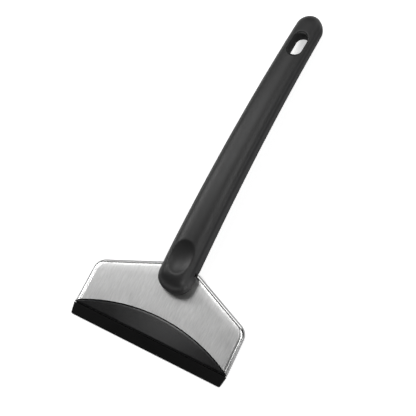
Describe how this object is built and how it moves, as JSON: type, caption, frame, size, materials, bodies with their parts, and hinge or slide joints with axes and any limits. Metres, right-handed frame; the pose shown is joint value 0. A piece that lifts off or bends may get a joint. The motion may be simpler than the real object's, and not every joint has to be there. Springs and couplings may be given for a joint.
{
  "type": "ice scraper",
  "caption": "Hand-held ice scraper: a long curved moulded handle with thumb dish and hanging slot, a pressed steel face over a moulded blade body, and a tapered scraping edge.",
  "frame": {"origin": "centre of the bottom of the bounding box, with the scraper lying on its back", "axes": "+Y along the handle, away from the scraping edge; +X across the head; +Z out of the steel face"},
  "size_m": [0.1128, 0.2424, 0.026],
  "materials": {
    "brushed_steel": "fine brushing along the handle's direction",
    "body_plastic": "smooth satin black",
    "edge_plastic": "matt deep black",
    "handle_plastic": "matt charcoal with a very fine grain",
    "screw_steel": "plain zinc-grey"
  },
  "bodies": {
    "root": {"face_plate": "brushed_steel", "blade_body": "body_plastic", "scraping_edge": "edge_plastic", "handle": "handle_plastic", "tongue_screw_left": "screw_steel", "tongue_screw_right": "screw_steel", "stem_screw_lower": "screw_steel", "stem_screw_upper": "screw_steel"}
  },
  "joints": []
}
